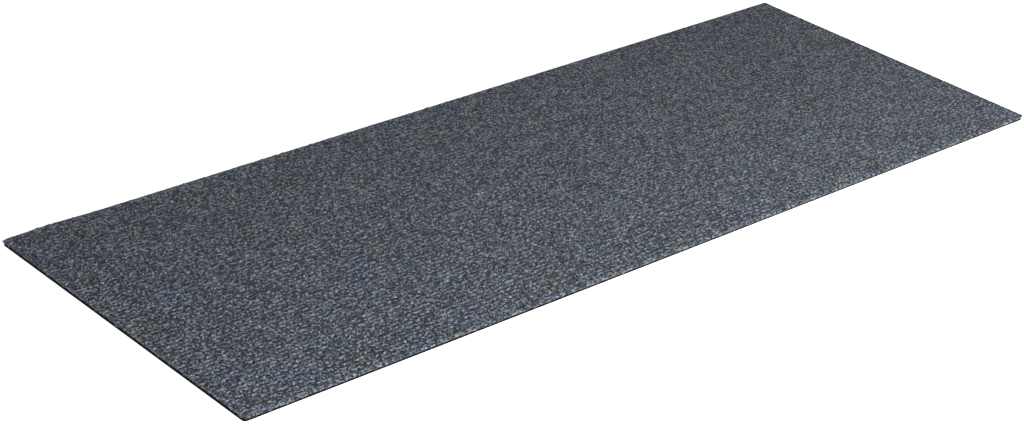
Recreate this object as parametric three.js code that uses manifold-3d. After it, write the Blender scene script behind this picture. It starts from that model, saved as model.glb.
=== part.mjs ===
// Anti-slip stair tread mat: a ribbed needle-felt carpet bonded to a thin rubber backing.
// Both layers are cut together from the roll, as one flat sheet with slightly rounded corners.
// Millimetres, +Z up. The origin is the centre of the underside, +X runs along the mat and its ribs,
// and +Y points from the front of the step towards its riser.
import * as THREE from "three";
import { mergeVertices } from "three/addons/utils/BufferGeometryUtils.js";
import Module from "manifold-3d";

const wasm = await Module();
wasm.setup();

// The cut sheet
const matLength = 609.6;
const matWidth = 228.6;
const cornerRadius = 2;

// The layers, from the floor up
const backingThickness = 1.7;
const feltThickness = 0.6;
const ribHeight = 0.7;

// The ribs, which the needling raises along the roll, and the shoulder that cutting presses down
const ribPitch = 3.36;
const grooveWidth = 0.5;
const shoulderRadius = 0.4;

// Steps in round stretches, for each half turn of a rib and each corner or shoulder
const ribSteps = 8;
const cornerSteps = 6;
const shoulderSteps = 3;

// Heights that follow from the layers
const feltBottom = backingThickness;
const grooveFloor = feltBottom + feltThickness;
const ribTop = grooveFloor + ribHeight;

// The sheet's outline, seen from above: the same cut goes through both layers.
function cutOutline() {
  const x = matLength / 2 - cornerRadius;
  const y = matWidth / 2 - cornerRadius;
  const outline = new THREE.Shape();
  outline.absarc(x, y, cornerRadius, 0, Math.PI / 2, false);
  outline.absarc(-x, y, cornerRadius, Math.PI / 2, Math.PI, false);
  outline.absarc(-x, -y, cornerRadius, Math.PI, 1.5 * Math.PI, false);
  outline.absarc(x, -y, cornerRadius, 1.5 * Math.PI, 2 * Math.PI, false);
  return outline;
}

// The felt's section across the mat, as (y, z): a flat sole under a row of rounded ribs.
// It runs past both edges, because the ribs are as wide as the roll and the cut falls where it may.
function ribbedSection() {
  const ribWidth = ribPitch - grooveWidth;
  const ribsPerSide = Math.ceil(matWidth / 2 / ribPitch) + 1;
  const halfRoll = ribsPerSide * ribPitch;
  const section = new THREE.Shape();
  section.moveTo(-halfRoll, feltBottom);
  section.lineTo(halfRoll, feltBottom);
  section.lineTo(halfRoll, grooveFloor);
  for (let rib = 2 * ribsPerSide - 1; rib >= 0; rib--) {
    const crest = (rib + 0.5) * ribPitch - halfRoll;
    section.absellipse(crest, grooveFloor, ribWidth / 2, ribHeight, 0, Math.PI, false, 0);
  }
  section.lineTo(-halfRoll, grooveFloor);
  return section;
}

// A closed geometry as a manifold-3d solid, and back.
function solidOf(geometry) {
  const bare = geometry.clone();
  bare.deleteAttribute("normal");
  bare.deleteAttribute("uv");
  const merged = mergeVertices(bare);
  return new wasm.Manifold(
    new wasm.Mesh({
      numProp: 3,
      vertProperties: merged.attributes.position.array,
      triVerts: new Uint32Array(merged.index.array),
    }),
  );
}

function geometryOf(solid) {
  const mesh = solid.getMesh();
  const geometry = new THREE.BufferGeometry();
  geometry.setAttribute("position", new THREE.BufferAttribute(mesh.vertProperties, 3));
  geometry.setIndex(new THREE.BufferAttribute(mesh.triVerts, 1));
  geometry.computeVertexNormals();
  return geometry;
}

// The roll of ribbed felt, lying flat with its ribs along X and long enough for the mat.
function feltRoll() {
  const rollLength = matLength + 2 * cornerRadius;
  const roll = new THREE.ExtrudeGeometry(ribbedSection(), {
    depth: rollLength,
    bevelEnabled: false,
    curveSegments: ribSteps / 2,
  });
  // The section's x and y become Y and Z, and its depth becomes X.
  const layFlat = new THREE.Matrix4().set(0, 0, 1, -rollLength / 2, 1, 0, 0, 0, 0, 1, 0, 0, 0, 0, 0, 1);
  return roll.applyMatrix4(layFlat);
}

// What the cutter leaves of the roll: upright sides that round over at the top.
// It reaches below the felt, so that only its upper shoulder meets the carpet.
function cutterVolume() {
  const height = ribTop + shoulderRadius;
  const volume = new THREE.ExtrudeGeometry(cutOutline(), {
    depth: height - 2 * shoulderRadius,
    bevelEnabled: true,
    bevelThickness: shoulderRadius,
    bevelSize: shoulderRadius,
    bevelOffset: -shoulderRadius,
    bevelSegments: shoulderSteps,
    curveSegments: cornerSteps,
  });
  return volume.translate(0, 0, ribTop - height + shoulderRadius);
}

function carpetFace() {
  const carpet = solidOf(feltRoll()).intersect(solidOf(cutterVolume()));
  const felt = new THREE.MeshStandardMaterial({ color: 0x53585f, roughness: 0.95, metalness: 0 });
  const mesh = new THREE.Mesh(geometryOf(carpet), felt);
  mesh.name = "carpet_face";
  return mesh;
}

function rubberBacking() {
  const sheet = new THREE.ExtrudeGeometry(cutOutline(), {
    depth: backingThickness,
    bevelEnabled: false,
    curveSegments: cornerSteps,
  });
  const rubber = new THREE.MeshStandardMaterial({ color: 0x17181a, roughness: 0.8, metalness: 0 });
  const mesh = new THREE.Mesh(sheet, rubber);
  mesh.name = "rubber_backing";
  return mesh;
}

const mat = new THREE.Group();
mat.name = "stair_tread_mat";
mat.add(rubberBacking(), carpetFace());

export default mat;
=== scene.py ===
# %% [markdown]
# # A ribbed felt mat for a stair tread
#
# The real mat is cut from a roll. Its upper layer is carpet felt: a web of short grey, black and blue
# fibres that barbed needles have punched together and raised into ribs. Its lower layer is a thin sheet
# of black rubber, which keeps the mat from sliding on the tread.
#
# We start from the measured solids, which say where everything is and how big it is. Blender's work is
# the felt: its ribs are lumpy, its loops come in every shade of grey, and stray fibres soften its edges.

# %% Load the measured solids
import math

import bpy
from mathutils import Matrix, Vector


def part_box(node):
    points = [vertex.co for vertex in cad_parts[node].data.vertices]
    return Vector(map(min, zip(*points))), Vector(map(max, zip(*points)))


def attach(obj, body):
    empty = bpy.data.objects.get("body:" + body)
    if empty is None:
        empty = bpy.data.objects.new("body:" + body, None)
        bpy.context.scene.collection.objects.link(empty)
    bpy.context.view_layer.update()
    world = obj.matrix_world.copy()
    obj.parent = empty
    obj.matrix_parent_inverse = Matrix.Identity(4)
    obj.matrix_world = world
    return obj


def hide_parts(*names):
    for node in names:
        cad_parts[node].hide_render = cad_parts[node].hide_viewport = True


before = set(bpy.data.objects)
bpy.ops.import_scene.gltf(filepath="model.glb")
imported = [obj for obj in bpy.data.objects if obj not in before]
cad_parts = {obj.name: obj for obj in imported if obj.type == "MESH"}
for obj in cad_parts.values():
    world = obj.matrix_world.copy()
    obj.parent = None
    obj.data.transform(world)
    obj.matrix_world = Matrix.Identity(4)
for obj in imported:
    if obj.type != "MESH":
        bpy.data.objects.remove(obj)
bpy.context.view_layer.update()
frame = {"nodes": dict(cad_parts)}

MM = 0.001
print("solids:", ", ".join(frame["nodes"]))

# %% [markdown]
# Every size below comes from those solids or was judged from a picture of a real mat. A roll of felt has
# whole ribs, so we count how many fit across the mat and share the width between them. The needling
# leaves a pattern along each rib, which repeats at the loop pitch. It leans across the rib, and every
# other rib is out of step with its neighbours.

# %% Sizes
felt_low, felt_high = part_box("carpet_face")
rubber_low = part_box("rubber_backing")[0]

LENGTH = felt_high[0] - felt_low[0]
WIDTH = felt_high[1] - felt_low[1]
SOLE = felt_low[2]
TOP = felt_high[2]

USUAL_RIB_PITCH = 3.36 * MM
RIBS = round(WIDTH / USUAL_RIB_PITCH)
RIB_PITCH = WIDTH / RIBS
RIB_SHARE = 0.85  # of the pitch is rib, and the rest is groove

LOOP_PITCH = 10.16 * MM
LOOP_SHIFT = 0.4  # of a loop pitch, from one rib to the next
LOOP_LEAN = 1.2  # along the rib for each step across it

FELT_WEB = 0.35 * MM
GROOVE_FLOOR = SOLE + FELT_WEB
STRAND_LIFT = 0.05 * MM
RIB_TOP = TOP - STRAND_LIFT
OVERHANG = 0.6 * MM
CORNER = 2 * MM
print(f"mat {LENGTH / MM:.1f} by {WIDTH / MM:.1f} mm, {RIBS} ribs {RIB_PITCH / MM:.2f} mm apart")

# %% [markdown]
# ## The camera
#
# A camera has to be placed before we can judge any detail by eye. This one stands off the front left
# corner of the mat and looks down on it, as a person on the stairs would. It leans a little to one side,
# so we turn it about its own line of sight, which is called roll.

# %% Camera
AZIMUTH, ELEVATION, ROLL = math.radians(-42.525), math.radians(27.156), math.radians(3.173)
DISTANCE = 1.4088
AIM = Vector((-49.31 * MM, -21.59 * MM, 0))
LENS = 85.465


def add_camera():
    back = Vector((math.sin(AZIMUTH) * math.cos(ELEVATION),
                   -math.cos(AZIMUTH) * math.cos(ELEVATION),
                   math.sin(ELEVATION)))
    camera = bpy.data.objects.new("camera", bpy.data.cameras.new("camera"))
    camera.data.lens = LENS
    turn = (-back).to_track_quat("-Z", "Y").to_matrix() @ Matrix.Rotation(ROLL, 3, "Z")
    camera.matrix_world = Matrix.Translation(AIM + back * DISTANCE) @ turn.to_4x4()
    bpy.context.collection.objects.link(camera)
    bpy.context.scene.camera = camera
    return camera


camera = add_camera()
print("camera at", [round(value, 3) for value in camera.location], "metres")

# %% [markdown]
# ## Node helpers
#
# Both materials and geometry are graphs of nodes. A few small helpers keep the graphs readable: one adds
# a node with its settings and its inputs in a single call, others do a step of arithmetic, and the last
# names what goes into a group and what comes out.

# %% Helpers for nodes


def put(socket, value):
    """Gives an input its value, or joins it to another node's output."""
    if isinstance(value, bpy.types.NodeSocket):
        socket.id_data.links.new(value, socket)
    elif value is not None:
        socket.default_value = value


def node(tree, kind, inputs=(), **settings):
    """Adds a node. Inputs are given by name or by number."""
    made = tree.nodes.new(kind)
    for name, value in settings.items():
        setattr(made, name, value)
    for key, value in dict(inputs).items():
        put(made.inputs[key], value)
    return made


def do_math(tree, operation, a, b=None, c=None):
    """One step of arithmetic, as a node's output."""
    return node(tree, "ShaderNodeMath", {0: a, 1: b, 2: c}, operation=operation).outputs[0]


def vector_math(tree, operation, a, b):
    return node(tree, "ShaderNodeVectorMath", {0: a, 1: b}, operation=operation).outputs[0]


def map_range(tree, value, low, high, to_low=0.0, to_high=1.0, smooth=False):
    """Stretches values between low and high over a new range, and stops them at its ends."""
    made = node(tree, "ShaderNodeMapRange", {0: value, 1: low, 2: high, 3: to_low, 4: to_high})
    if smooth:
        made.interpolation_type = "SMOOTHSTEP"
    return made.outputs[0]


def add_sockets(tree, inputs, outputs):
    """Names a group's inputs, each with a default value, and its outputs."""
    kinds = {float: "NodeSocketFloat", int: "NodeSocketInt"}
    for name, value in inputs.items():
        kind = value if isinstance(value, str) else kinds[type(value)]
        socket = tree.interface.new_socket(name, in_out="INPUT", socket_type=kind)
        if not isinstance(value, str):
            socket.default_value = value
    for name, kind in outputs.items():
        tree.interface.new_socket(name, in_out="OUTPUT", socket_type=kind)


# %% [markdown]
# ## What makes felt look like felt
#
# Heathered felt is never one colour. It is laid from a blend of dyed fibres, so from a step away it reads
# as grey, and up close as flecks of black, slate blue and pale grey. Three things vary at three scales:
# the blend drifts between bluish, olive and a little plum over a centimetre or two, clumps of a
# millimetre are lighter or darker, and single fibres draw fine lines. All felt pieces share these, so
# they become node groups.

# %% Sizes of the flecks
CLUMP_SIZE = 1.12 * MM
CLUMP_STRETCH = (0.95, 1.0, 1.0)
CLOUD_SCALE = 0.9  # of the clumps' own scale
WOBBLE_SCALE, WOBBLE_REACH = 700.0, 1.6 * MM
FIBRE_SCALE, FIBRE_STRETCH = 3600.0, (0.4, 1.0, 1.0)
NOISE_LOW, NOISE_HIGH = 0.3, 0.7  # a noise seldom leaves this range
HALVES = (0.5, 0.5, 0.5)
print(f"clumps {CLUMP_SIZE / MM:.2f} mm wide")

# %% Group: flecks of the fibre blend


def fleck_group():
    """Grey levels of fibre clumps, from 0 to 1, with an average near 0.5."""
    tree = bpy.data.node_groups.new("fibre flecks", "ShaderNodeTree")
    add_sockets(tree, {"Vector": "NodeSocketVector", "Clump size": CLUMP_SIZE},
                {"Fleck": "NodeSocketFloat", "Fibre": "NodeSocketFloat"})
    given = tree.nodes.new("NodeGroupInput")
    scale = do_math(tree, "DIVIDE", 1.0, given.outputs["Clump size"])
    place = given.outputs["Vector"]
    wobble = node(tree, "ShaderNodeTexNoise", {"Vector": place, "Scale": WOBBLE_SCALE, "Detail": 1.0})
    centred = vector_math(tree, "SUBTRACT", wobble.outputs["Color"], HALVES)
    pushed = vector_math(tree, "MULTIPLY", centred, (WOBBLE_REACH, WOBBLE_REACH, WOBBLE_REACH))
    bent = vector_math(tree, "ADD", place, pushed)
    along = vector_math(tree, "MULTIPLY", bent, CLUMP_STRETCH)
    clumps = node(tree, "ShaderNodeTexVoronoi", {"Vector": along, "Scale": scale})
    shade = node(tree, "ShaderNodeSeparateColor", {0: clumps.outputs["Color"]}).outputs[0]
    cloud = node(tree, "ShaderNodeTexNoise",
                 {"Vector": along, "Scale": do_math(tree, "MULTIPLY", scale, CLOUD_SCALE), "Detail": 1.5,
                  "Roughness": 0.6})
    spread = map_range(tree, cloud.outputs[0], NOISE_LOW, NOISE_HIGH)
    fleck = do_math(tree, "ADD", do_math(tree, "MULTIPLY", shade, 0.5),
                    do_math(tree, "MULTIPLY", spread, 0.5))
    hairs = node(tree, "ShaderNodeTexNoise",
                 {"Vector": vector_math(tree, "MULTIPLY", bent, FIBRE_STRETCH), "Scale": FIBRE_SCALE,
                  "Detail": 2.0, "Roughness": 0.6, "Distortion": 0.6})
    fibre = map_range(tree, hairs.outputs[0], NOISE_LOW, NOISE_HIGH)
    out = tree.nodes.new("NodeGroupOutput")
    put(out.inputs["Fleck"], fleck)
    put(out.inputs["Fibre"], fibre)
    return tree


flecks = fleck_group()
print("group:", flecks.name)

# %% Colours of the fibres, and tints of the blend
BLACK_FIBRE = (0.0026, 0.0055, 0.0120)
CHARCOAL_FIBRE = (0.0360, 0.0480, 0.0655)
SLATE_FIBRE = (0.1370, 0.1520, 0.1700)
PALE_FIBRE = (0.275, 0.285, 0.296)
BLEND_STOPS = [(0.25, BLACK_FIBRE), (0.40, CHARCOAL_FIBRE), (0.62, SLATE_FIBRE), (1.0, PALE_FIBRE)]

OLIVE_TINT = (0.975, 1.02, 0.95)
BLUE_TINT = (0.925, 0.98, 1.14)
PLUM_TINT = (1.04, 0.97, 1.06)
DRIFT_SCALE, DRIFT_RANGE = 55.0, (0.36, 0.64)
PLUM_SCALE, PLUM_RANGE = 60.0, (0.5, 0.68)
PLUM_OFFSET = (3.0, 5.0, 7.0)  # keeps the plum patches apart from the other drift
print("blend of", len(BLEND_STOPS), "fibre colours and 3 tints")

# %% Group: the blend's slow drift in colour


def mixed_colour(tree, amount, first, second, **settings):
    """Mixes two colours, each given as a socket or as red, green and blue."""
    first, second = [(*colour, 1) if isinstance(colour, tuple) else colour for colour in (first, second)]
    return node(tree, "ShaderNodeMix", {0: amount, 6: first, 7: second},
                data_type="RGBA", **settings).outputs[2]


def blend_group():
    """The felt's colour for a grey level: near black, charcoal, slate, pale grey."""
    tree = bpy.data.node_groups.new("felt blend", "ShaderNodeTree")
    add_sockets(tree, {"Vector": "NodeSocketVector", "Level": 0.5}, {"Color": "NodeSocketColor"})
    given = tree.nodes.new("NodeGroupInput")
    ramp = tree.nodes.new("ShaderNodeValToRGB")
    put(ramp.inputs[0], given.outputs["Level"])
    while len(ramp.color_ramp.elements) < len(BLEND_STOPS):
        ramp.color_ramp.elements.new(0.5)
    for element, (level, colour) in zip(ramp.color_ramp.elements, BLEND_STOPS):
        element.position = level
        element.color = (*colour, 1)
    drift = node(tree, "ShaderNodeTexNoise", {"Vector": given.outputs["Vector"], "Scale": DRIFT_SCALE,
                                              "Detail": 3.0, "Roughness": 0.6})
    side = map_range(tree, drift.outputs[0], *DRIFT_RANGE, smooth=True)
    elsewhere = vector_math(tree, "ADD", given.outputs["Vector"], PLUM_OFFSET)
    patches = node(tree, "ShaderNodeTexNoise", {"Vector": elsewhere, "Scale": PLUM_SCALE, "Detail": 2.0})
    plum = map_range(tree, patches.outputs[0], *PLUM_RANGE, smooth=True)
    tint = mixed_colour(tree, plum, mixed_colour(tree, side, OLIVE_TINT, BLUE_TINT), PLUM_TINT)
    out = tree.nodes.new("NodeGroupOutput")
    put(out.inputs["Color"], mixed_colour(tree, 1.0, ramp.outputs[0], tint, blend_type="MULTIPLY"))
    return tree


blend = blend_group()
print("group:", blend.name)

# %% [markdown]
# ## The felt materials
#
# Felt scatters light in all directions, so it is rough and has no shine, only the faint glow of fibre
# ends that stand up, which is what Sheen gives. Three kinds of piece wear it: the ribbed body, the loops
# on the ribs and the stray fibres. Each has its own material, because loops and fibres carry one random
# tone each, stored on the mesh as an attribute, while the body has only the flecks. The body and the
# loops are also coloured darker low in a groove, which is painted shade, and the stray fibres are
# painted paler than the rest, which is a painted highlight.

# %% Helper: an empty material


def new_material(name):
    material = bpy.data.materials.new(name)
    material.use_nodes = True
    return material, material.node_tree, material.node_tree.nodes["Principled BSDF"]


# %% Felt materials
MIDDLE_LEVEL = 0.51
FIBRE_SHARE = 0.12


def share_of(tree, value, share):
    """How far a value from 0 to 1 moves the grey level up or down."""
    return do_math(tree, "MULTIPLY", do_math(tree, "SUBTRACT", value, 0.5), share)


def felt_material(name, fleck_share, tone_share, lift, painted_groove_shade=0.0, relief=0.07 * MM):
    """Grey from the flecks and the stored tone, lowered by painted groove shade and by edge darkening."""
    material, tree, shader = new_material(name)
    place = tree.nodes.new("ShaderNodeTexCoord").outputs["Object"]
    grain = node(tree, "ShaderNodeGroup", node_tree=flecks)
    put(grain.inputs["Vector"], place)
    grain.inputs["Clump size"].default_value = CLUMP_SIZE
    level = share_of(tree, grain.outputs["Fleck"], fleck_share)
    if tone_share:
        tone = node(tree, "ShaderNodeAttribute", attribute_name="tone").outputs["Fac"]
        level = do_math(tree, "ADD", level, share_of(tree, tone, tone_share))
    line = share_of(tree, grain.outputs["Fibre"], FIBRE_SHARE)
    level = do_math(tree, "ADD", do_math(tree, "ADD", level, line), MIDDLE_LEVEL + lift)
    if painted_groove_shade:
        # Painted shade: the stored figure is how low in a groove a point lies, plus the edge darkening
        depth = node(tree, "ShaderNodeAttribute", attribute_name="depth").outputs["Fac"]
        level = do_math(tree, "SUBTRACT", level, do_math(tree, "MULTIPLY", depth, painted_groove_shade))
    colour = node(tree, "ShaderNodeGroup", node_tree=blend)
    put(colour.inputs["Vector"], place)
    put(colour.inputs["Level"], level)
    put(shader.inputs["Base Color"], colour.outputs["Color"])
    bump = node(tree, "ShaderNodeBump", {"Height": grain.outputs["Fibre"], "Distance": relief})
    put(shader.inputs["Normal"], bump.outputs[0])
    shader.inputs["Roughness"].default_value = 0.95
    shader.inputs["Specular IOR Level"].default_value = 0.15
    shader.inputs["Sheen Weight"].default_value = 0.08
    shader.inputs["Sheen Roughness"].default_value = 0.6
    return material


# The body and the loops are coloured darker low in the grooves, at a strength of 0.42: painted shade
felt_body = felt_material("felt body", fleck_share=1.2, tone_share=0.0, lift=0.03, painted_groove_shade=0.42)
felt_loops = felt_material("felt loops", fleck_share=1.12, tone_share=0.45, lift=0.04, painted_groove_shade=0.42)
# The strays' lift of 0.12 is a painted highlight: it colours them paler than the felt they lie on.
felt_strays = felt_material("felt strays", fleck_share=0.1, tone_share=0.9, lift=0.12, relief=0.02 * MM)
print("materials:", felt_body.name, "|", felt_loops.name, "|", felt_strays.name)

# %% [markdown]
# ## The rubber material
#
# The backing is black rubber, pressed with a fine grain. A noise drives its roughness and a low bump, so
# that it has a soft, uneven gleam and not the look of black paint.

# %% Rubber material
CLEAN_RUBBER = (0.0035, 0.0035, 0.004)
DUSTY_RUBBER = (0.008, 0.008, 0.0085)
RUBBER_GRAIN_SCALE, RUBBER_DUST_SCALE = 1400.0, 35.0
RUBBER_ROUGHNESS = (0.75, 0.95)


def rubber_material():
    material, tree, shader = new_material("black rubber")
    place = tree.nodes.new("ShaderNodeTexCoord").outputs["Object"]
    grain = node(tree, "ShaderNodeTexNoise",
                 {"Vector": place, "Scale": RUBBER_GRAIN_SCALE, "Detail": 3.0}).outputs[0]
    dust = node(tree, "ShaderNodeTexNoise",
                {"Vector": place, "Scale": RUBBER_DUST_SCALE, "Detail": 4.0}).outputs[0]
    dusty = map_range(tree, dust, NOISE_LOW, NOISE_HIGH)
    put(shader.inputs["Base Color"], mixed_colour(tree, dusty, CLEAN_RUBBER, DUSTY_RUBBER))
    put(shader.inputs["Roughness"], map_range(tree, grain, NOISE_LOW, NOISE_HIGH, *RUBBER_ROUGHNESS))
    bump = node(tree, "ShaderNodeBump", {"Height": grain, "Distance": 0.08 * MM})
    put(shader.inputs["Normal"], bump.outputs[0])
    shader.inputs["Specular IOR Level"].default_value = 0.08
    return material


black_rubber = rubber_material()
backing = frame["nodes"]["rubber_backing"]
for material_slot in backing.material_slots:
    material_slot.material = black_rubber
print("material:", black_rubber.name, "on", backing.name)

# %% [markdown]
# ## The sheet that becomes the felt
#
# The felt body is one closed sheet: a grid on top, a side all round, and one large face underneath,
# where nothing shows. Blender can make a plain grid, but here its columns have to fall on the ribs. So
# code sets five columns to each rib, and packs a few rows close together at both ends.
#
# A cut edge is never as clean as the solid's. At both ends the cutter has pushed felt into the grooves,
# and the felt is darker close to the cut, its side darkening towards the rubber. Along the long sides
# the felt overhangs the rubber and hides part of it, more so towards the right, and its side there is
# coloured darker towards the rubber, which is painted shade. The far left corner is pressed thin, and
# beside it the far edge swells out a little.

# %% Sizes of the sheet and its cut edges
COLUMNS_PER_RIB = 5
ROW_STEP = 2.55 * MM
END_ROWS = [0, 0.15 * MM, 0.4 * MM, 1.2 * MM, 2.6 * MM]  # from each end inwards
SHOULDER = 0.12 * MM

# Filled grooves and darker felt at both ends, where the felt's side darkens towards the rubber, and
# painted shade on the felt's side along the long sides
END_FILL, END_SHADE, END_BAND = 0.95, 0.14, 1 * MM
# How high the felt's side ends above the sole at both ends, and how dark that side gets towards the rubber
LIP_ABOVE_SOLE, END_SIDE_DARKENING = 0.3 * MM, 1.5
# Painted shade, darkening the felt's side along the long sides, which the lamp lights head-on
PAINTED_LIP_SHADE = 0.35

# Felt hanging over the rubber along the long sides, and where the hang changes from left to right
HANG_LEFT, HANG_RIGHT, HANG_START = 0.5 * MM, 1.2 * MM, 10 * MM
HANG_CHANGE = 0.2  # of the length, to each side of the middle

# The pressed corner, and the swelling beside it, which dies away inwards by a power
PRESSED_HEIGHT, PRESSED_REACH = 0.45 * MM, 8 * MM
SWELL, SWELL_PLACE, SWELL_REACH, SWELL_POWER = 1.1 * MM, 32 * MM, 20 * MM, 4
print("columns across the sheet:", RIBS * COLUMNS_PER_RIB)

# %% Outline of the sheet


def row_places():
    """Places along the mat: close together at both ends and evenly spaced between them."""
    half = LENGTH / 2
    inner = half - END_ROWS[-1]
    steps = round(2 * inner / ROW_STEP)
    middle = [-inner + 2 * inner * step / steps for step in range(1, steps)]
    return [-half + end for end in END_ROWS] + middle + [half - end for end in reversed(END_ROWS)]


def on_outline(x, y, overhang):
    """Moves a point of the grid so that the grid's square corners become round ones."""
    inner_x, inner_y = LENGTH / 2 - CORNER, WIDTH / 2 - CORNER
    past_x, past_y = abs(x) - inner_x, abs(y) - inner_y
    if past_x > 0 and past_y > 0:
        share = max(past_x, past_y) / math.hypot(past_x, past_y)
        x = math.copysign(inner_x + past_x * share, x)
        y = math.copysign(inner_y + past_y * share, y)
    swell = SWELL * math.exp(-(((x + LENGTH / 2 - SWELL_PLACE) / SWELL_REACH) ** 2))
    y += swell * max(0.0, y / WIDTH * 2) ** SWELL_POWER
    return x * (1 + 2 * overhang / LENGTH), y * (1 + 2 * overhang / WIDTH)


# %% Heights of the sheet near its edges


def shoulder_height(from_edge):
    """How high the sheet may be so close to the cut edge."""
    inside = max(0.0, SHOULDER - from_edge)
    return RIB_TOP - SHOULDER + math.sqrt(SHOULDER ** 2 - inside ** 2)


def pressed_height(x, y):
    """How high the sheet may be near its far left corner, which is pressed thin."""
    away = (x + LENGTH / 2 + WIDTH / 2 - y) / PRESSED_REACH
    return SOLE + PRESSED_HEIGHT + (TOP - SOLE - PRESSED_HEIGHT) * away


def lower_edge(x, y):
    """Where the felt's side ends above the floor: over the rubber along the long sides."""
    if abs(y) < WIDTH / 2:
        return SOLE + LIP_ABOVE_SOLE
    share = min(1.0, max(0.0, (x / LENGTH + HANG_CHANGE) / (2 * HANG_CHANGE)))
    hang = HANG_LEFT + (HANG_RIGHT - HANG_LEFT) * share
    return SOLE + LIP_ABOVE_SOLE - hang * min(1.0, max(0.0, LENGTH / 2 - CORNER - abs(x)) / HANG_START)


# %% Ring and shades of the sheet


def ring_round(rows, wide):
    """Numbers of the grid's outermost points, in order round the sheet."""
    last_row, last_column = rows - 1, wide - 1
    ring = [row * wide for row in range(last_row)]
    ring += [last_row * wide + column for column in range(last_column)]
    ring += [row * wide + last_column for row in range(last_row, 0, -1)]
    return ring + list(range(last_column, 0, -1))


def edge_shades(points, ceilings):
    """Darker near the cut at both ends; painted shade on the long sides. A side point has no ceiling."""
    shades = []
    for (x, y, _), ceiling in zip(points, ceilings):
        is_side = ceiling == 0
        from_cut = min(abs(abs(x) - LENGTH / 2), abs(abs(y) - WIDTH / 2))
        if abs(x) > LENGTH / 2 - CORNER and from_cut < END_BAND:
            shades.append(END_SIDE_DARKENING if is_side else END_SHADE)
        else:
            shades.append(PAINTED_LIP_SHADE if is_side else 0.0)
    return shades


# %% The closed sheet, before its ribs are raised


def felt_sheet():
    rows = row_places()
    columns = RIBS * COLUMNS_PER_RIB
    wide = columns + 1
    grid = [(x, -WIDTH / 2 + WIDTH * column / columns) for x in rows for column in range(wide)]
    points = [(*on_outline(x, y, OVERHANG), GROOVE_FLOOR) for x, y in grid]
    from_ends = [LENGTH / 2 - abs(x) for x, y in grid]
    ceilings = [min(shoulder_height(min(from_end, WIDTH / 2 - abs(y))), pressed_height(x, y))
                for (x, y), from_end in zip(grid, from_ends)]
    fills = [END_FILL * max(0.0, 1 - from_end / END_ROWS[-1]) for from_end in from_ends]
    faces = [(row * wide + column, (row + 1) * wide + column,
              (row + 1) * wide + column + 1, row * wide + column + 1)
             for row in range(len(rows) - 1) for column in range(columns)]
    ring = ring_round(len(rows), wide)
    upper = ring
    for is_lip, overhang in ((True, 0.5 * OVERHANG), (False, 0.0)):
        lower = range(len(points), len(points) + len(ring))
        points += [(*on_outline(*grid[corner], overhang), lower_edge(*grid[corner]) if is_lip else SOLE)
                   for corner in ring]
        faces += [(upper[here], lower[here], lower[here - len(ring) + 1], upper[here - len(ring) + 1])
                  for here in range(len(ring))]
        upper = lower
    faces.append(tuple(reversed(upper)))
    sides = [0.0] * (2 * len(ring))
    values = {"ceiling": ceilings + sides, "fill": fills + sides,
              "rim": [0.0] * len(grid) + [1.0] * len(ring) + [0.0] * len(ring)}
    values["shade"] = edge_shades(points, values["ceiling"])
    mesh = bpy.data.meshes.new("felt sheet")
    mesh.from_pydata(points, [], faces)
    for name, numbers in values.items():
        mesh.attributes.new(name, "FLOAT", "POINT").data.foreach_set("value", numbers)
    return mesh


sheet_mesh = felt_sheet()
print(f"sheet: {len(sheet_mesh.vertices)} points, {len(sheet_mesh.polygons)} faces")

# %% [markdown]
# ## Raising the ribs with Geometry Nodes
#
# The ribs follow a rule: half an ellipse, repeated at the rib pitch. Two slanted dips cross a rib for
# each loop pitch, one deep and one shallower, and the ribs are flatter towards the far right, as on the
# real mat. Geometry Nodes can state that rule once, as arithmetic on each point's place, and we can
# still change the pitch or the height afterwards. A noise makes the ribs lumpy, because no two loops of
# felt are alike. Two trees use the rule, so it is a group of its own.

# %% Inputs that the rule needs
RIB_INPUTS = ["Length", "Width", "Rib pitch", "Rib share", "Loop pitch", "Loop shift", "Loop lean", "Waist",
              "Worn height", "Worn along", "Worn across"]
RIB_SIZES = {name: 0.0 for name in [*RIB_INPUTS, "Groove floor", "Rib top"]}
DIP_MIDDLE, DIP_ONCE, DIP_TWICE = 0.5, 0.2, 0.4  # a wave of one loop pitch, and one of half of it
print("inputs of a rib:", len(RIB_SIZES))

# %% Group: height of a rib at a place


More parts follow.
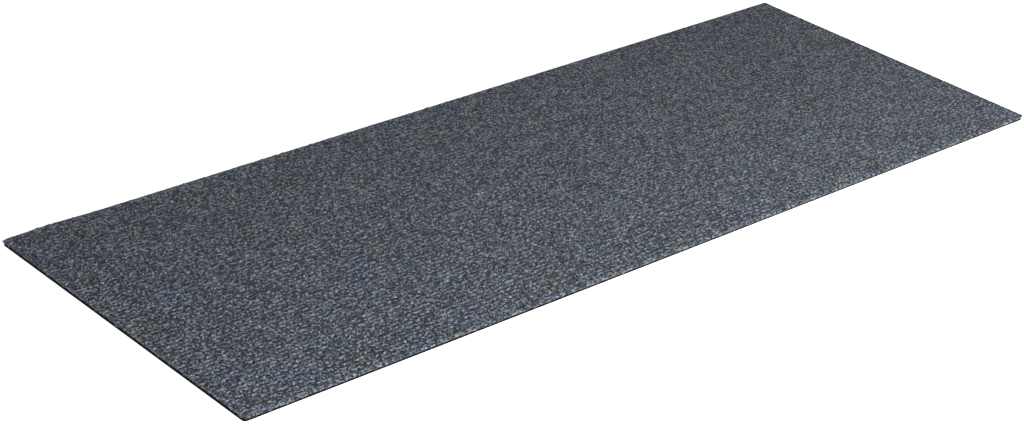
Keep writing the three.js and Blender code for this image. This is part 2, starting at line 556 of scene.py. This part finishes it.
def rib_height_group():
    tree = bpy.data.node_groups.new("rib height", "GeometryNodeTree")
    add_sockets(tree, {"X": 0.0, "Y": 0.0, **{name: 0.0 for name in RIB_INPUTS}},
                {"Height": "NodeSocketFloat"})
    given = tree.nodes.new("NodeGroupInput").outputs
    half = do_math(tree, "MULTIPLY", given["Width"], 0.5)
    outermost = do_math(tree, "SUBTRACT", half, do_math(tree, "MULTIPLY", given["Rib pitch"], 0.5))
    inside = do_math(tree, "MAXIMUM", do_math(tree, "MINIMUM", given["Y"], outermost),
                     do_math(tree, "MULTIPLY", outermost, -1.0))
    count = do_math(tree, "DIVIDE", do_math(tree, "ADD", inside, half), given["Rib pitch"])
    rib = do_math(tree, "FLOOR", count)
    aside = do_math(tree, "SUBTRACT", do_math(tree, "FRACT", count), 0.5)
    share = do_math(tree, "DIVIDE", do_math(tree, "MULTIPLY", aside, 2.0), given["Rib share"])
    under_root = do_math(tree, "SUBTRACT", 1.0, do_math(tree, "MULTIPLY", share, share))
    dome = do_math(tree, "SQRT", do_math(tree, "MAXIMUM", under_root, 0.0))
    odd = do_math(tree, "FLOORED_MODULO", rib, 2.0)
    across = do_math(tree, "MULTIPLY", aside, given["Rib pitch"])
    slant = do_math(tree, "MULTIPLY", across, given["Loop lean"])
    unslanted = do_math(tree, "SUBTRACT", given["X"], slant)
    loops = do_math(tree, "MULTIPLY_ADD", odd, given["Loop shift"],
                    do_math(tree, "DIVIDE", unslanted, given["Loop pitch"]))
    once = do_math(tree, "COSINE", do_math(tree, "MULTIPLY", loops, 2 * math.pi))
    twice = do_math(tree, "COSINE", do_math(tree, "MULTIPLY", loops, 4 * math.pi))
    wave = do_math(tree, "MULTIPLY_ADD", once, DIP_ONCE,
                   do_math(tree, "MULTIPLY_ADD", twice, DIP_TWICE, DIP_MIDDLE))
    dip = do_math(tree, "MULTIPLY", wave, given["Waist"])
    height = do_math(tree, "MULTIPLY", dome, do_math(tree, "SUBTRACT", 1.0, dip))
    half_length = do_math(tree, "MULTIPLY", given["Length"], 0.5)
    fresh = do_math(tree, "MULTIPLY",
                    map_range(tree, given["X"], do_math(tree, "MULTIPLY", half_length, -1.0), half_length,
                              1.0, given["Worn along"]),
                    map_range(tree, given["Y"], do_math(tree, "MULTIPLY", half, -1.0), half,
                              1.0, given["Worn across"]))
    above = do_math(tree, "SUBTRACT", height, given["Worn height"])
    worn = do_math(tree, "MULTIPLY_ADD", above, fresh, given["Worn height"])
    put(tree.nodes.new("NodeGroupOutput").inputs["Height"], worn)
    return tree


rib_height = rib_height_group()
print("group:", rib_height.name)

# %% Helpers for the trees


def rib_values(tree, given, x, y):
    """Places the rib height group with the sizes that the tree was given."""
    group = node(tree, "GeometryNodeGroup", node_tree=rib_height)
    put(group.inputs["X"], x)
    put(group.inputs["Y"], y)
    for name in RIB_INPUTS:
        put(group.inputs[name], given[name])
    return group.outputs["Height"]


def split_position(tree):
    """X, Y and Z of the points that a node works on."""
    place = tree.nodes.new("GeometryNodeInputPosition").outputs[0]
    return node(tree, "ShaderNodeSeparateXYZ", {0: place}).outputs


def combine(tree, x, y, z):
    return node(tree, "ShaderNodeCombineXYZ", {0: x, 1: y, 2: z}).outputs[0]


def stored(tree, name):
    """A number that the mesh already carries on its points."""
    return node(tree, "GeometryNodeInputNamedAttribute", {"Name": name}, data_type="FLOAT").outputs[0]


def store(tree, geometry, name, value, domain="POINT"):
    """Gives each point or instance a number, which a material can read."""
    return node(tree, "GeometryNodeStoreNamedAttribute",
                {"Geometry": geometry, "Name": name, "Value": value},
                data_type="FLOAT", domain=domain).outputs[0]


def finish_tree(tree, geometry, given):
    """Every tree here ends in the same way: real, smooth faces that wear one material."""
    real = node(tree, "GeometryNodeRealizeInstances", {0: geometry}).outputs[0]
    smooth = node(tree, "GeometryNodeSetShadeSmooth", {0: real}).outputs[0]
    dressed = node(tree, "GeometryNodeSetMaterial", {0: smooth, "Material": given["Material"]}).outputs[0]
    put(tree.nodes.new("NodeGroupOutput").inputs[0], dressed)


# %% Tree: raise the ribs on a flat sheet
LUMP_SCALE, FRAY_SCALE = 330.0, 420.0


def raised_height(tree, given, place, dome, ceiling):
    """The rib's height with its lumps, no higher than the cut edge lets it be."""
    relief = do_math(tree, "SUBTRACT", given["Rib top"], given["Groove floor"])
    raised = do_math(tree, "MULTIPLY_ADD", dome, relief, given["Groove floor"])
    noise = node(tree, "ShaderNodeTexNoise", {"Vector": place, "Scale": LUMP_SCALE, "Detail": 2.0})
    lumps = share_of(tree, noise.outputs[0], given["Lumps"])
    return do_math(tree, "MINIMUM", do_math(tree, "ADD", raised, lumps), ceiling)


def fray_offset(tree, given, place):
    """Pushes the points of the rim about, so that the felt's lower edge is ragged."""
    rough = node(tree, "ShaderNodeTexNoise", {"Vector": place, "Scale": FRAY_SCALE, "Detail": 2.0})
    pushed = vector_math(tree, "SUBTRACT", rough.outputs["Color"], HALVES)
    amount = do_math(tree, "MULTIPLY", stored(tree, "rim"), given["Fray"])
    return node(tree, "ShaderNodeVectorMath", {0: pushed, "Scale": amount}, operation="SCALE").outputs[0]


def raise_ribs_tree():
    tree = bpy.data.node_groups.new("raise ribs", "GeometryNodeTree")
    add_sockets(tree, {"Geometry": "NodeSocketGeometry", **RIB_SIZES, "Lumps": 0.0, "Fray": 0.0,
                       "Material": "NodeSocketMaterial"}, {"Geometry": "NodeSocketGeometry"})
    given = tree.nodes.new("NodeGroupInput").outputs
    place = tree.nodes.new("GeometryNodeInputPosition").outputs[0]
    split = split_position(tree)
    dome = do_math(tree, "MAXIMUM", rib_values(tree, given, split["X"], split["Y"]), stored(tree, "fill"))
    ceiling = stored(tree, "ceiling")
    height = raised_height(tree, given, place, dome, ceiling)
    is_top = do_math(tree, "GREATER_THAN", ceiling, 0.0)
    # Painted shade: the lower a point of the top lies in a groove, the darker the felt is coloured there.
    # The edge darkening, with the painted shade on the long sides' felt, is added to it.
    painted_groove_shade = do_math(tree, "MULTIPLY", do_math(tree, "SUBTRACT", 1.0, dome), is_top)
    marked = store(tree, given["Geometry"], "depth", do_math(tree, "ADD", painted_groove_shade, stored(tree, "shade")))
    ribbed = node(tree, "GeometryNodeSetPosition",
                  {"Geometry": marked, "Selection": is_top,
                   "Position": combine(tree, split["X"], split["Y"], height)}).outputs[0]
    frayed = node(tree, "GeometryNodeSetPosition",
                  {"Geometry": ribbed, "Offset": fray_offset(tree, given, place)}).outputs[0]
    finish_tree(tree, frayed, given)
    return tree


raise_ribs = raise_ribs_tree()
print("tree:", raise_ribs.name)

# %% [markdown]
# A tree does nothing until a modifier runs it. The modifier's inputs are set by their identifiers, which
# stay the same if a label changes. Afterwards the evaluated shape is copied into a plain mesh, and the
# modifier is gone, so that what we keep is ordinary geometry.

# %% Helper: run a tree and keep its result


def grow(name, tree, values, start=None):
    """Runs a Geometry Nodes tree on a start mesh and returns the result as a plain object."""
    maker = bpy.data.objects.new("maker", start or bpy.data.meshes.new("nothing"))
    bpy.context.collection.objects.link(maker)
    modifier = maker.modifiers.new("tree", "NODES")
    modifier.node_group = tree
    sockets = {item.name: item.identifier for item in tree.interface.items_tree
               if item.item_type == "SOCKET" and item.in_out == "INPUT"}
    for label, value in values.items():
        modifier[sockets[label]] = value
    view = bpy.context.evaluated_depsgraph_get()
    mesh = bpy.data.meshes.new_from_object(maker.evaluated_get(view), depsgraph=view)
    bpy.data.objects.remove(maker)
    mesh.name = name
    for extra in ("ceiling", "fill", "rim", "shade"):
        if extra in mesh.attributes:
            mesh.attributes.remove(mesh.attributes[extra])
    made = bpy.data.objects.new(name, mesh)
    bpy.context.collection.objects.link(made)
    mesh.calc_loop_triangles()
    print(f"{name}: {len(mesh.loop_triangles)} triangles")
    return made


# %% The felt body
rib_sizes = {"Length": LENGTH, "Width": WIDTH, "Rib pitch": RIB_PITCH, "Rib share": RIB_SHARE,
             "Loop pitch": LOOP_PITCH, "Loop shift": LOOP_SHIFT, "Loop lean": LOOP_LEAN, "Waist": 0.68,
             "Worn height": 0.54, "Worn along": 0.5, "Worn across": 0.5,
             "Groove floor": GROOVE_FLOOR, "Rib top": RIB_TOP}
body_sizes = {**rib_sizes, "Lumps": 0.4 * MM, "Fray": 0.35 * MM}
felt = grow("ribbed_felt", raise_ribs, {**body_sizes, "Material": felt_body}, sheet_mesh)

# %% [markdown]
# ## Loops on the ribs
#
# Each rib is a row of loops, and each loop is a few strands that arch up and dive back into the web.
# There are thousands, so a strand has to be cheap: a three-sided spindle of twelve triangles. One
# template is instanced on a lattice of points, and random turns, sizes and shades hide the copying. Near
# a long side the strands turn to lie along it, so that none sticks out past the cut.

# %% Strand template


def spindle(name, sides, rings, bend):
    """A strand one unit long: it arches up from tip to tip and bends sideways."""
    points = [(-0.5, 0.0, 0.0)]
    for ring in range(rings):
        along = (ring + 1) / (rings + 1)
        arch = math.sin(math.pi * along)
        for side in range(sides):
            angle = math.pi / 2 + 2 * math.pi * side / sides
            radius = 0.5 * arch ** 0.5
            sideways = bend * math.sin(2 * math.pi * along)
            points.append((along - 0.5, sideways + radius * math.cos(angle),
                           0.5 * arch + radius * math.sin(angle)))
    points.append((0.5, 0.0, 0.0))
    last = len(points) - 1
    faces = []
    for side in range(sides):
        beside = (side + 1) % sides
        faces.append((0, 1 + beside, 1 + side))
        for ring in range(rings - 1):
            low, high = 1 + ring * sides, 1 + (ring + 1) * sides
            faces.append((low + side, low + beside, high + beside, high + side))
        end = 1 + (rings - 1) * sides
        faces.append((end + side, end + beside, last))
    mesh = bpy.data.meshes.new(name)
    mesh.from_pydata(points, [], faces)
    return bpy.data.objects.new(name, mesh)


strand = spindle("strand", sides=3, rings=2, bend=0.0)
hair = spindle("hair", sides=3, rings=4, bend=1.5)
print("templates:", strand.name, hair.name)

# %% How much the strands vary
ALONG_JITTER, ACROSS_JITTER = 0.7 * MM, 0.2 * MM
# Turns are in radians about X, Y and Z, and sizes are shares of the strand's usual size
STRAND_ROLLS, STRAND_NODS, STRAND_TURNS = (-0.5, 0.5), (-0.12, 0.12), (0.05, 0.95)
STRAND_LENGTHS, STRAND_WIDTHS, STRAND_HEIGHTS = (0.75, 1.3), (0.7, 1.3), (0.7, 1.25)
STRAND_SUNK = 0.45  # of its height is inside the rib
TIED_REACH, TIED_TURN = 0.4 * MM, 0.3  # where strands near a side lie along it, and how far they turn


def random_between(tree, low, high, seed, offset):
    """A random number for each point, from the tree's seed and an offset of its own."""
    made = node(tree, "FunctionNodeRandomValue", data_type="FLOAT")
    made.inputs[2].default_value = low
    made.inputs[3].default_value = high
    put(made.inputs["Seed"], do_math(tree, "ADD", seed, offset))
    return made.outputs[1]


def varied(tree, size, limits, seed, offset):
    """A size times a random number between two limits."""
    return do_math(tree, "MULTIPLY", size, random_between(tree, *limits, seed, offset))


# %% Where the strands go


def strand_numbers(tree, given):
    """Splits a strand's number into its rib, loop, turn and lane, and counts all the strands."""
    per_loop = do_math(tree, "MULTIPLY", given["Lanes"], given["Turns"])
    per_row = do_math(tree, "MULTIPLY", given["Loops"], per_loop)
    number = tree.nodes.new("GeometryNodeInputIndex").outputs[0]
    row = do_math(tree, "FLOOR", do_math(tree, "DIVIDE", number, per_row))
    in_row = do_math(tree, "FLOORED_MODULO", number, per_row)
    loop = do_math(tree, "FLOOR", do_math(tree, "DIVIDE", in_row, per_loop))
    in_loop = do_math(tree, "FLOORED_MODULO", in_row, per_loop)
    lane = do_math(tree, "FLOORED_MODULO", in_loop, given["Lanes"])
    turn = do_math(tree, "FLOOR", do_math(tree, "DIVIDE", in_loop, given["Lanes"]))
    rib = do_math(tree, "MULTIPLY_ADD", row, given["Rib step"], given["First rib"])
    return rib, loop, turn, lane, do_math(tree, "MULTIPLY", per_row, given["Rows"])


def strand_x(tree, given, rib, loop, turn):
    odd = do_math(tree, "FLOORED_MODULO", rib, 2.0)
    from_middle = do_math(tree, "SUBTRACT", loop, do_math(tree, "MULTIPLY", given["Loops"], 0.5))
    within = do_math(tree, "DIVIDE", turn, given["Turns"])
    stepped = do_math(tree, "SUBTRACT", do_math(tree, "ADD", from_middle, within),
                      do_math(tree, "MULTIPLY", odd, given["Loop shift"]))
    x = do_math(tree, "MULTIPLY", stepped, given["Loop pitch"])
    return do_math(tree, "ADD", x, random_between(tree, -ALONG_JITTER, ALONG_JITTER, given["Seed"], 1))


def strand_y(tree, given, rib, lane, half_width, side):
    middle = do_math(tree, "MULTIPLY", given["Lanes"], 0.5)
    from_crest = do_math(tree, "SUBTRACT", do_math(tree, "ADD", lane, 0.5), middle)
    crest = do_math(tree, "MULTIPLY", do_math(tree, "ADD", rib, 0.5), given["Rib pitch"])
    crest = do_math(tree, "SUBTRACT", crest, half_width)
    y = do_math(tree, "MULTIPLY_ADD", from_crest, given["Spread"], crest)
    y = do_math(tree, "ADD", y, random_between(tree, -ACROSS_JITTER, ACROSS_JITTER, given["Seed"], 2))
    return do_math(tree, "MAXIMUM", do_math(tree, "MINIMUM", y, side), do_math(tree, "MULTIPLY", side, -1.0))


def left_out(tree, given, half_width):
    """Picks the strands past the mat's ends and those on its pressed corner."""
    place = split_position(tree)
    half_length = do_math(tree, "MULTIPLY", given["Length"], 0.5)
    reach = do_math(tree, "SUBTRACT", half_length, given["End gap"])
    past_end = do_math(tree, "GREATER_THAN", do_math(tree, "ABSOLUTE", place["X"]), reach)
    from_corner = do_math(tree, "ADD", do_math(tree, "ADD", place["X"], half_length),
                          do_math(tree, "SUBTRACT", half_width, place["Y"]))
    return do_math(tree, "MAXIMUM", past_end, do_math(tree, "LESS_THAN", from_corner, given["Bare corner"]))


# %% How the strands turn, and how big they are


def strand_turn(tree, given, side):
    from_line = do_math(tree, "ABSOLUTE", split_position(tree)["Y"])
    tied = map_range(tree, from_line, do_math(tree, "SUBTRACT", side, TIED_REACH), side, 1.0, TIED_TURN)
    roll = random_between(tree, *STRAND_ROLLS, given["Seed"], 3)
    nod = random_between(tree, *STRAND_NODS, given["Seed"], 4)
    return combine(tree, roll, nod, varied(tree, tied, STRAND_TURNS, given["Seed"], 5))


def strand_size(tree, given):
    return combine(tree, varied(tree, given["Strand length"], STRAND_LENGTHS, given["Seed"], 6),
                   varied(tree, given["Strand width"], STRAND_WIDTHS, given["Seed"], 7),
                   varied(tree, given["Strand height"], STRAND_HEIGHTS, given["Seed"], 8))


# %% Tree: rows of loops
LOOP_INPUTS = {"First rib": 0.0, "Rib step": 1.0, "Rows": 1, "Loops": 1, "Lanes": 1, "Turns": 1,
               "Spread": 0.0, "Strand length": 0.0, "Strand width": 0.0, "Strand height": 0.0,
               "End gap": 0.0, "Side gap": 0.0, "Bare corner": 0.0, "Seed": 0,
               "Strand": "NodeSocketObject", "Material": "NodeSocketMaterial"}


def loop_rows_tree():
    tree = bpy.data.node_groups.new("rows of loops", "GeometryNodeTree")
    add_sockets(tree, {"Geometry": "NodeSocketGeometry", **RIB_SIZES, **LOOP_INPUTS},
                {"Geometry": "NodeSocketGeometry"})
    given = tree.nodes.new("NodeGroupInput").outputs
    half_width = do_math(tree, "MULTIPLY", given["Width"], 0.5)
    side = do_math(tree, "SUBTRACT", half_width, given["Side gap"])
    rib, loop, turn, lane, count = strand_numbers(tree, given)
    x = strand_x(tree, given, rib, loop, turn)
    y = strand_y(tree, given, rib, lane, half_width, side)
    relief = do_math(tree, "SUBTRACT", given["Rib top"], given["Groove floor"])
    dome = rib_values(tree, given, x, y)
    surface = do_math(tree, "MULTIPLY_ADD", dome, relief, given["Groove floor"])
    z = do_math(tree, "SUBTRACT", surface, do_math(tree, "MULTIPLY", given["Strand height"], STRAND_SUNK))
    cloud = node(tree, "GeometryNodePoints", {"Count": count, "Position": combine(tree, x, y, z)}).outputs[0]
    # Painted shade: a strand that sits low on its rib is coloured darker.
    cloud = store(tree, cloud, "depth", do_math(tree, "SUBTRACT", 1.0, dome))
    kept = node(tree, "GeometryNodeDeleteGeometry",
                {"Geometry": cloud, "Selection": left_out(tree, given, half_width)}).outputs[0]
    template = node(tree, "GeometryNodeObjectInfo", {0: given["Strand"]}).outputs["Geometry"]
    copies = node(tree, "GeometryNodeInstanceOnPoints",
                  {"Points": kept, "Instance": template, "Rotation": strand_turn(tree, given, side),
                   "Scale": strand_size(tree, given)}).outputs[0]
    shade = random_between(tree, 0.0, 1.0, given["Seed"], 9)
    finish_tree(tree, store(tree, copies, "tone", shade, "INSTANCE"), given)
    return tree


loop_rows = loop_rows_tree()
print("tree:", loop_rows.name)

# %% [markdown]
# The ribs are dealt out to four pieces, every fourth rib to each, so that no piece is too heavy to
# export. A loop has three lanes of strands side by side, with four turns in each.

# %% Four sets of loop rows
LOOP_SETS = 4
LANES, TURNS = 3, 4
loops_per_rib = 2 * round(LENGTH / LOOP_PITCH / 2) + 2
strand_sizes = {"Rib step": float(LOOP_SETS), "Loops": loops_per_rib, "Lanes": LANES,
                "Turns": TURNS, "Spread": 0.82 * MM, "Strand length": 2.3 * MM, "Strand width": 0.9 * MM,
                "Strand height": 0.4 * MM, "End gap": 0.3 * MM, "Side gap": 0.9 * MM,
                "Bare corner": 6 * MM, "Strand": strand}
loop_pieces = []
for number in range(LOOP_SETS):
    rows = len(range(number, RIBS, LOOP_SETS))
    loop_pieces.append(grow(f"rib_loops_{number + 1}", loop_rows,
                            {**rib_sizes, **strand_sizes, "First rib": float(number), "Rows": rows,
                             "Seed": 100 * (number + 1), "Material": felt_loops}))

# %% [markdown]
# ## Stray fibres
#
# Needling leaves loose ends. On the face they lie almost flat and show as fine pale lines, because their
# colour is painted paler than the felt's: a painted highlight, as of fibres that catch the light.
# On the long sides, where the cut runs beside a rib, they hang over the edge and hide part of the rubber,
# and a few do so at the ends. Points are scattered on the felt body, and each gets a thin hair that
# follows the surface there.

# %% How much the hairs vary, and which way a face of the felt looks
HAIR_ROLLS, HAIR_NODS, HAIR_SPINS = (-0.25, 0.25), (-0.12, 0.12), (-math.pi, math.pi)
HAIR_LENGTHS, HAIR_HEIGHTS = (0.5, 1.4), (0.4, 1.3)
SIDE_NORMAL, FACE_NORMAL = 0.8, 0.6  # how near a normal has to be to an axis
HAIR_INPUTS = {"Body": "NodeSocketObject", "Face density": 0.0, "Long side density": 0.0,
               "Short side density": 0.0, "Lowest": 0.0, "Hair length": 0.0, "Hair width": 0.0,
               "Hair height": 0.0, "Seed": 0, "Hair": "NodeSocketObject",
               "Material": "NodeSocketMaterial"}
print("inputs of the hairs:", len(HAIR_INPUTS))

# %% Tree: hairs scattered on a body


def hair_density(tree, given):
    """Hairs for each square metre: one figure each for the face, the long sides and the short sides."""
    normal = node(tree, "ShaderNodeSeparateXYZ",
                  {0: tree.nodes.new("GeometryNodeInputNormal").outputs[0]}).outputs
    is_long = do_math(tree, "GREATER_THAN", do_math(tree, "ABSOLUTE", normal["Y"]), SIDE_NORMAL)
    is_short = do_math(tree, "GREATER_THAN", do_math(tree, "ABSOLUTE", normal["X"]), SIDE_NORMAL)
    is_face = do_math(tree, "GREATER_THAN", normal["Z"], FACE_NORMAL)
    density = do_math(tree, "MULTIPLY", is_face, given["Face density"])
    density = do_math(tree, "MULTIPLY_ADD", is_long, given["Long side density"], density)
    return do_math(tree, "MULTIPLY_ADD", is_short, given["Short side density"], density)


def hair_turn(tree, given, surface):
    """Turns a hair with the surface, and then at random within it."""
    spin = combine(tree, random_between(tree, *HAIR_ROLLS, given["Seed"], 1),
                   random_between(tree, *HAIR_NODS, given["Seed"], 2),
                   random_between(tree, *HAIR_SPINS, given["Seed"], 3))
    own = node(tree, "FunctionNodeEulerToRotation", {0: spin}).outputs[0]
    return node(tree, "FunctionNodeRotateRotation", {0: surface, 1: own}, rotation_space="LOCAL").outputs[0]


def hairs_tree():
    tree = bpy.data.node_groups.new("scattered hairs", "GeometryNodeTree")
    add_sockets(tree, {"Geometry": "NodeSocketGeometry", **HAIR_INPUTS}, {"Geometry": "NodeSocketGeometry"})
    given = tree.nodes.new("NodeGroupInput").outputs
    body = node(tree, "GeometryNodeObjectInfo", {0: given["Body"]}).outputs["Geometry"]
    above = do_math(tree, "GREATER_THAN", split_position(tree)["Z"], given["Lowest"])
    scattered = node(tree, "GeometryNodeDistributePointsOnFaces",
                     {"Mesh": body, "Selection": above, "Density": hair_density(tree, given),
                      "Seed": given["Seed"]}).outputs
    size = combine(tree, varied(tree, given["Hair length"], HAIR_LENGTHS, given["Seed"], 4),
                   given["Hair width"],
                   varied(tree, given["Hair height"], HAIR_HEIGHTS, given["Seed"], 5))
    template = node(tree, "GeometryNodeObjectInfo", {0: given["Hair"]}).outputs["Geometry"]
    copies = node(tree, "GeometryNodeInstanceOnPoints",
                  {"Points": scattered["Points"], "Instance": template,
                   "Rotation": hair_turn(tree, given, scattered["Rotation"]), "Scale": size}).outputs[0]
    shade = random_between(tree, 0.0, 1.0, given["Seed"], 6)
    finish_tree(tree, store(tree, copies, "tone", shade, "INSTANCE"), given)
    return tree


scattered_hairs = hairs_tree()
print("tree:", scattered_hairs.name)

# %% Hairs on the face and along the cut edges
hair_sizes = {"Body": felt, "Lowest": SOLE + 0.3 * MM, "Hair": hair, "Material": felt_strays}
face_hairs = grow("stray_fibres", scattered_hairs,
                  {**hair_sizes, "Face density": 30000.0, "Long side density": 0.0,
                   "Short side density": 0.0, "Hair length": 3.2 * MM, "Hair width": 0.1 * MM,
                   "Hair height": 0.3 * MM, "Seed": 11})
edge_hairs = grow("edge_fibres", scattered_hairs,
                  {**hair_sizes, "Face density": 0.0, "Long side density": 2200000.0,
                   "Short side density": 250000.0, "Hair length": 2.6 * MM, "Hair width": 0.15 * MM,
                   "Hair height": 0.35 * MM, "Seed": 12})
for template in (strand, hair):
    bpy.data.objects.remove(template)

# %% [markdown]
# ## What the mat lies on, and its light
#
# A cut-out catalogue picture has a white ground. The floor is a plain pale surface that light really
# falls on, so it keeps the mat's shadow, and for the camera alone it glows a little, which lifts it to
# white without putting more light on the felt. A long soft lamp low in front rakes across the ribs, and
# the world fills the shade.

# %% Floor
GROUND_GLOW = 0.75
FLOOR_SIDE = 12.0
FLOOR_DROP = 0.05 * MM
DULL_PAPER, BRIGHT_PAPER = (0.78, 0.78, 0.78), (0.82, 0.82, 0.82)
PAPER_SCALE = 300.0


def white_ground():
    material, tree, shader = new_material("white ground")
    speckle = node(tree, "ShaderNodeTexNoise", {"Scale": PAPER_SCALE}).outputs[0]
    put(shader.inputs["Base Color"], mixed_colour(tree, speckle, DULL_PAPER, BRIGHT_PAPER))
    shader.inputs["Roughness"].default_value = 0.9
    seen = tree.nodes.new("ShaderNodeLightPath").outputs["Is Camera Ray"]
    shader.inputs["Emission Color"].default_value = (1, 1, 1, 1)
    put(shader.inputs["Emission Strength"], do_math(tree, "MULTIPLY", seen, GROUND_GLOW))
    return material


def add_floor():
    half = FLOOR_SIDE / 2
    mesh = bpy.data.meshes.new("floor")
    mesh.from_pydata([(-half, -half, 0), (half, -half, 0), (half, half, 0), (-half, half, 0)], [],
                     [(0, 1, 2, 3)])
    mesh.materials.append(white_ground())
    floor = bpy.data.objects.new("floor", mesh)
    floor.location.z = rubber_low[2] - FLOOR_DROP
    bpy.context.collection.objects.link(floor)
    return floor


floor = add_floor()
print("floor:", FLOOR_SIDE, "metres wide")

# %% World and lamp
WORLD_LEVEL = 0.19
KEY_POWER = 15.0
KEY_PLACE, KEY_AIM = (0.0, -0.57, 0.32), (0.0, -0.02, 0.0)
KEY_WIDTH, KEY_HEIGHT = 1.6, 0.25


def add_world():
    world = bpy.data.worlds.new("studio")
    world.use_nodes = True
    tree = world.node_tree
    background = tree.nodes["Background"]
    seen = tree.nodes.new("ShaderNodeLightPath").outputs["Is Camera Ray"]
    background.inputs["Color"].default_value = (1, 1, 1, 1)
    put(background.inputs["Strength"], map_range(tree, seen, 0.0, 1.0, WORLD_LEVEL, 1.0))
    bpy.context.scene.world = world


def add_lamp(name, place, aim, width, height, power):
    data = bpy.data.lights.new(name, "AREA")
    data.shape = "RECTANGLE"
    data.size, data.size_y = width, height
    data.energy = power
    lamp = bpy.data.objects.new(name, data)
    lamp.location = place
    lamp.rotation_euler = (Vector(aim) - Vector(place)).to_track_quat("-Z", "Y").to_euler()
    bpy.context.collection.objects.link(lamp)
    return lamp


add_world()
key = add_lamp("key", KEY_PLACE, KEY_AIM, KEY_WIDTH, KEY_HEIGHT, KEY_POWER)
bpy.context.scene.view_settings.view_transform = "Standard"
print("lamp:", key.name, KEY_POWER, "watts")

# %% [markdown]
# ## Attaching the pieces
#
# Each piece rides on the mat's body, and the felt pieces take the place of the measured felt solid,
# which is hidden.

# %% Ride and replace
felt_pieces = [felt, *loop_pieces, face_hairs, edge_hairs]
for piece in felt_pieces:
    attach(piece, "root")
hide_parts("carpet_face")
